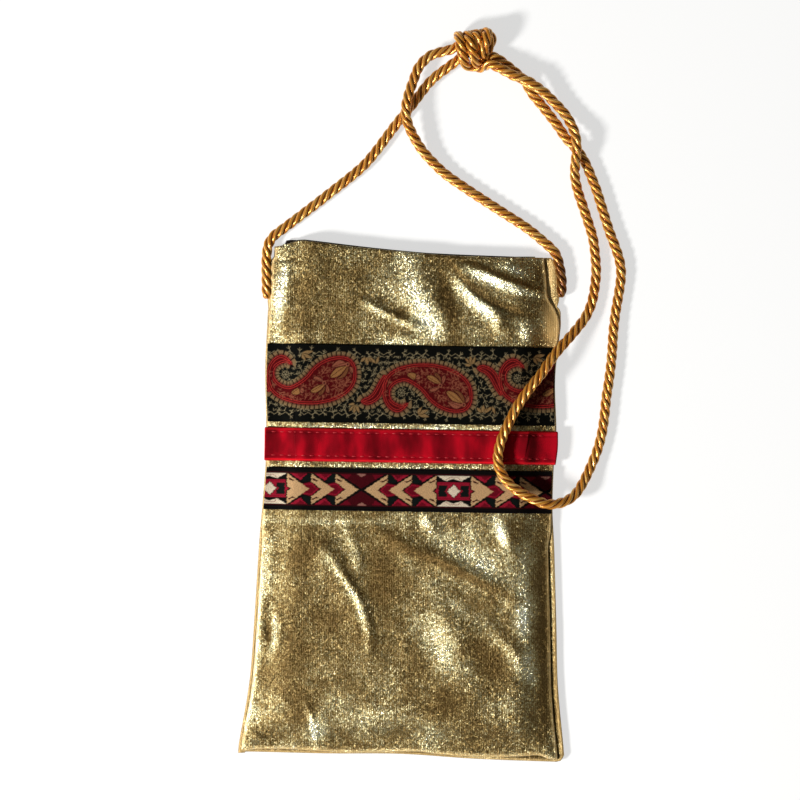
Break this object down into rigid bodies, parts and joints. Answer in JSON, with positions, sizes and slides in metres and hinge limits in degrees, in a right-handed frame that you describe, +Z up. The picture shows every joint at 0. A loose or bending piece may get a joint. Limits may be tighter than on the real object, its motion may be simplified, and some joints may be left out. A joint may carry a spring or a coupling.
{
  "type": "flat lame sling pouch",
  "caption": "Flat gold lame fabric pouch with lined open mouth, brocade, velvet and geometric ribbons sewn across the front, and a knotted twisted-cord strap.",
  "frame": {"origin": "middle of the resting face under the pouch, on the surface that it lies on", "axes": "+X across the front to the right, +Y along the pouch from the hem to the mouth, +Z up out of the ribboned front"},
  "size_m": [0.1747, 0.3299, 0.0155],
  "materials": {
    "gold_lame": "pale gold foil lame knit, crushed and softly shining",
    "lining": "dark plain lining cloth",
    "brocade": "black, red and tan woven jacquard brocade",
    "velvet": "deep red velvet pile",
    "woven_band": "black, tan, maroon and cream woven geometric band",
    "red_thread": "red sewing thread",
    "gold_thread": "dull gold sewing thread",
    "satin_cord": "golden orange satin twisted cord"
  },
  "bodies": {
    "root": {"back_panel": "gold_lame", "front_panel": "gold_lame", "lining_back": "lining", "lining_front": "lining", "paisley_ribbon": "brocade", "velvet_ribbon": "velvet", "geometric_ribbon": "woven_band", "velvet_stitch_upper": "red_thread", "velvet_stitch_lower": "red_thread", "mouth_stitch": "gold_thread", "strap_left_run": "satin_cord", "strap_right_run": "satin_cord", "strap_loop": "satin_cord", "strap_knot": "satin_cord"}
  },
  "joints": []
}
